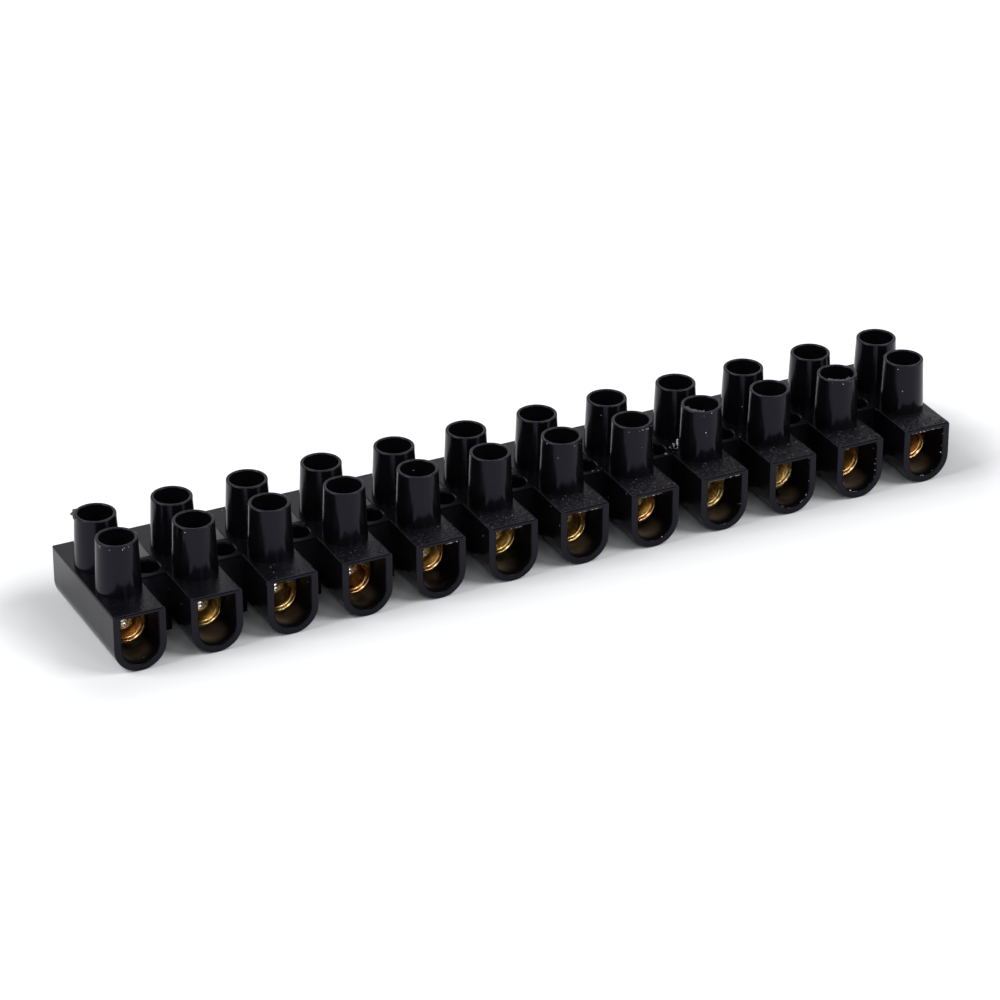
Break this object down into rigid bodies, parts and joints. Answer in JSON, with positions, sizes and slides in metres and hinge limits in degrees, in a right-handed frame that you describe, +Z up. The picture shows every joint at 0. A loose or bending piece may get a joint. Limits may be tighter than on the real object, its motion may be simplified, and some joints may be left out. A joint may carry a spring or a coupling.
{
  "type": "terminal strip",
  "caption": "Black moulded screw terminal strip: a row of U-shaped poles with brass wire inserts, clamp screws under paired chimneys and fixing holes between the poles.",
  "frame": {"origin": "middle of the strip's footprint, on its underside", "axes": "+X along the row of poles, -Y towards the front wire entries, +Z up through the chimneys"},
  "size_m": [0.1168, 0.0202, 0.0151],
  "materials": {
    "housing_plastic": "glossy black moulded plastic",
    "insert_brass": "bright drawn brass",
    "screw_steel": "bright zinc plate"
  },
  "bodies": {
    "strip": {"pole_01": "housing_plastic", "pole_02": "housing_plastic", "pole_03": "housing_plastic", "pole_04": "housing_plastic", "pole_05": "housing_plastic", "pole_06": "housing_plastic", "pole_07": "housing_plastic", "pole_08": "housing_plastic", "pole_09": "housing_plastic", "pole_10": "housing_plastic", "pole_11": "housing_plastic", "pole_12": "housing_plastic", "web_01": "housing_plastic", "web_02": "housing_plastic", "web_03": "housing_plastic", "web_04": "housing_plastic", "web_05": "housing_plastic", "web_06": "housing_plastic", "web_07": "housing_plastic", "web_08": "housing_plastic", "web_09": "housing_plastic", "web_10": "housing_plastic", "web_11": "housing_plastic", "terminal_01": "insert_brass", "terminal_02": "insert_brass", "terminal_03": "insert_brass", "terminal_04": "insert_brass", "terminal_05": "insert_brass", "terminal_06": "insert_brass", "terminal_07": "insert_brass", "terminal_08": "insert_brass", "terminal_09": "insert_brass", "terminal_10": "insert_brass", "terminal_11": "insert_brass", "terminal_12": "insert_brass"},
    "screw_01_front": {"screw_01_front": "screw_steel"},
    "screw_01_back": {"screw_01_back": "screw_steel"},
    "screw_02_front": {"screw_02_front": "screw_steel"},
    "screw_02_back": {"screw_02_back": "screw_steel"},
    "screw_03_front": {"screw_03_front": "screw_steel"},
    "screw_03_back": {"screw_03_back": "screw_steel"},
    "screw_04_front": {"screw_04_front": "screw_steel"},
    "screw_04_back": {"screw_04_back": "screw_steel"},
    "screw_05_front": {"screw_05_front": "screw_steel"},
    "screw_05_back": {"screw_05_back": "screw_steel"},
    "screw_06_front": {"screw_06_front": "screw_steel"},
    "screw_06_back": {"screw_06_back": "screw_steel"},
    "screw_07_front": {"screw_07_front": "screw_steel"},
    "screw_07_back": {"screw_07_back": "screw_steel"},
    "screw_08_front": {"screw_08_front": "screw_steel"},
    "screw_08_back": {"screw_08_back": "screw_steel"},
    "screw_09_front": {"screw_09_front": "screw_steel"},
    "screw_09_back": {"screw_09_back": "screw_steel"},
    "screw_10_front": {"screw_10_front": "screw_steel"},
    "screw_10_back": {"screw_10_back": "screw_steel"},
    "screw_11_front": {"screw_11_front": "screw_steel"},
    "screw_11_back": {"screw_11_back": "screw_steel"},
    "screw_12_front": {"screw_12_front": "screw_steel"},
    "screw_12_back": {"screw_12_back": "screw_steel"}
  },
  "joints": [
    {"name": "drive_01_front", "type": "slide", "parent": "strip", "child": "screw_01_front", "axis": [0, 0, 1], "range_m": [0, 0.0031]},
    {"name": "drive_01_back", "type": "slide", "parent": "strip", "child": "screw_01_back", "axis": [0, 0, 1], "range_m": [0, 0.0031]},
    {"name": "drive_02_front", "type": "slide", "parent": "strip", "child": "screw_02_front", "axis": [0, 0, 1], "range_m": [0, 0.0031]},
    {"name": "drive_02_back", "type": "slide", "parent": "strip", "child": "screw_02_back", "axis": [0, 0, 1], "range_m": [0, 0.0031]},
    {"name": "drive_03_front", "type": "slide", "parent": "strip", "child": "screw_03_front", "axis": [0, 0, 1], "range_m": [0, 0.0031]},
    {"name": "drive_03_back", "type": "slide", "parent": "strip", "child": "screw_03_back", "axis": [0, 0, 1], "range_m": [0, 0.0031]},
    {"name": "drive_04_front", "type": "slide", "parent": "strip", "child": "screw_04_front", "axis": [0, 0, 1], "range_m": [0, 0.0031]},
    {"name": "drive_04_back", "type": "slide", "parent": "strip", "child": "screw_04_back", "axis": [0, 0, 1], "range_m": [0, 0.0031]},
    {"name": "drive_05_front", "type": "slide", "parent": "strip", "child": "screw_05_front", "axis": [0, 0, 1], "range_m": [0, 0.0031]},
    {"name": "drive_05_back", "type": "slide", "parent": "strip", "child": "screw_05_back", "axis": [0, 0, 1], "range_m": [0, 0.0031]},
    {"name": "drive_06_front", "type": "slide", "parent": "strip", "child": "screw_06_front", "axis": [0, 0, 1], "range_m": [0, 0.0031]},
    {"name": "drive_06_back", "type": "slide", "parent": "strip", "child": "screw_06_back", "axis": [0, 0, 1], "range_m": [0, 0.0031]},
    {"name": "drive_07_front", "type": "slide", "parent": "strip", "child": "screw_07_front", "axis": [0, 0, 1], "range_m": [0, 0.0031]},
    {"name": "drive_07_back", "type": "slide", "parent": "strip", "child": "screw_07_back", "axis": [0, 0, 1], "range_m": [0, 0.0031]},
    {"name": "drive_08_front", "type": "slide", "parent": "strip", "child": "screw_08_front", "axis": [0, 0, 1], "range_m": [0, 0.0031]},
    {"name": "drive_08_back", "type": "slide", "parent": "strip", "child": "screw_08_back", "axis": [0, 0, 1], "range_m": [0, 0.0031]},
    {"name": "drive_09_front", "type": "slide", "parent": "strip", "child": "screw_09_front", "axis": [0, 0, 1], "range_m": [0, 0.0031]},
    {"name": "drive_09_back", "type": "slide", "parent": "strip", "child": "screw_09_back", "axis": [0, 0, 1], "range_m": [0, 0.0031]},
    {"name": "drive_10_front", "type": "slide", "parent": "strip", "child": "screw_10_front", "axis": [0, 0, 1], "range_m": [0, 0.0031]},
    {"name": "drive_10_back", "type": "slide", "parent": "strip", "child": "screw_10_back", "axis": [0, 0, 1], "range_m": [0, 0.0031]},
    {"name": "drive_11_front", "type": "slide", "parent": "strip", "child": "screw_11_front", "axis": [0, 0, 1], "range_m": [0, 0.0031]},
    {"name": "drive_11_back", "type": "slide", "parent": "strip", "child": "screw_11_back", "axis": [0, 0, 1], "range_m": [0, 0.0031]},
    {"name": "drive_12_front", "type": "slide", "parent": "strip", "child": "screw_12_front", "axis": [0, 0, 1], "range_m": [0, 0.0031]},
    {"name": "drive_12_back", "type": "slide", "parent": "strip", "child": "screw_12_back", "axis": [0, 0, 1], "range_m": [0, 0.0031]}
  ]
}
